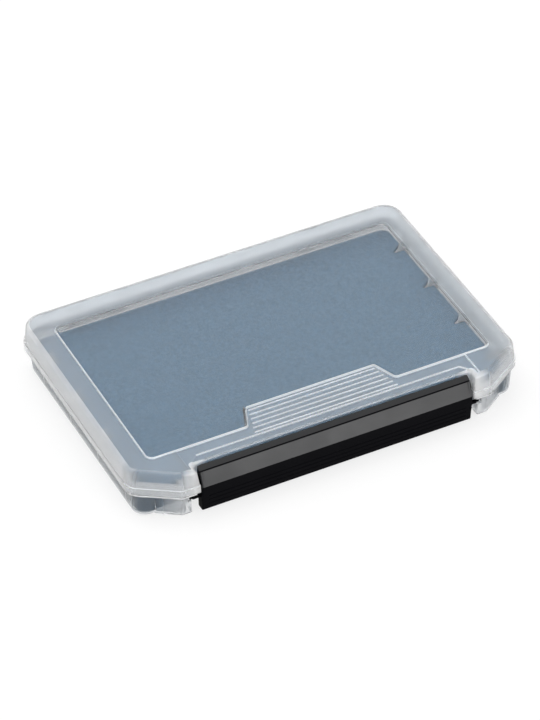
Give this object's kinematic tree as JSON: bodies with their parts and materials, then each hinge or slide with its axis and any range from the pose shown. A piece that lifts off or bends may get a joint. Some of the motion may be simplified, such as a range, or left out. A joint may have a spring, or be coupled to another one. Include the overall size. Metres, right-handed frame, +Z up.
{
  "type": "fly box",
  "caption": "Slim clear clamshell case for fishing flies, with a foam sheet inside, a rear-hinged lid and one wide black front latch.",
  "frame": {"origin": "under the middle of the closed case, on the surface it lies on", "axes": "+X along the case's long side, +Y from the latch to the hinges, +Z up through the lid"},
  "size_m": [0.205, 0.145, 0.028],
  "materials": {
    "clear_plastic": "frosted translucent polypropylene",
    "black_plastic": "satin moulded plastic",
    "foam": "fine closed-cell foam",
    "steel": "drawn wire"
  },
  "bodies": {
    "tray": {"base_tray": "clear_plastic", "foam_sheet": "foam", "hinge_pin_left": "steel", "hinge_pin_right": "steel"},
    "lid": {"lid": "clear_plastic"},
    "latch": {"latch": "black_plastic"}
  },
  "joints": [
    {"name": "lid_hinge", "type": "hinge", "parent": "tray", "child": "lid", "pos_m": [0, 0.0706, 0.014], "axis": [-1, 0, 0], "range_deg": [0, 180]},
    {"name": "latch_pivot", "type": "hinge", "parent": "tray", "child": "latch", "pos_m": [0, -0.0682, 0.0086], "axis": [1, 0, 0], "range_deg": [0, 95]}
  ]
}
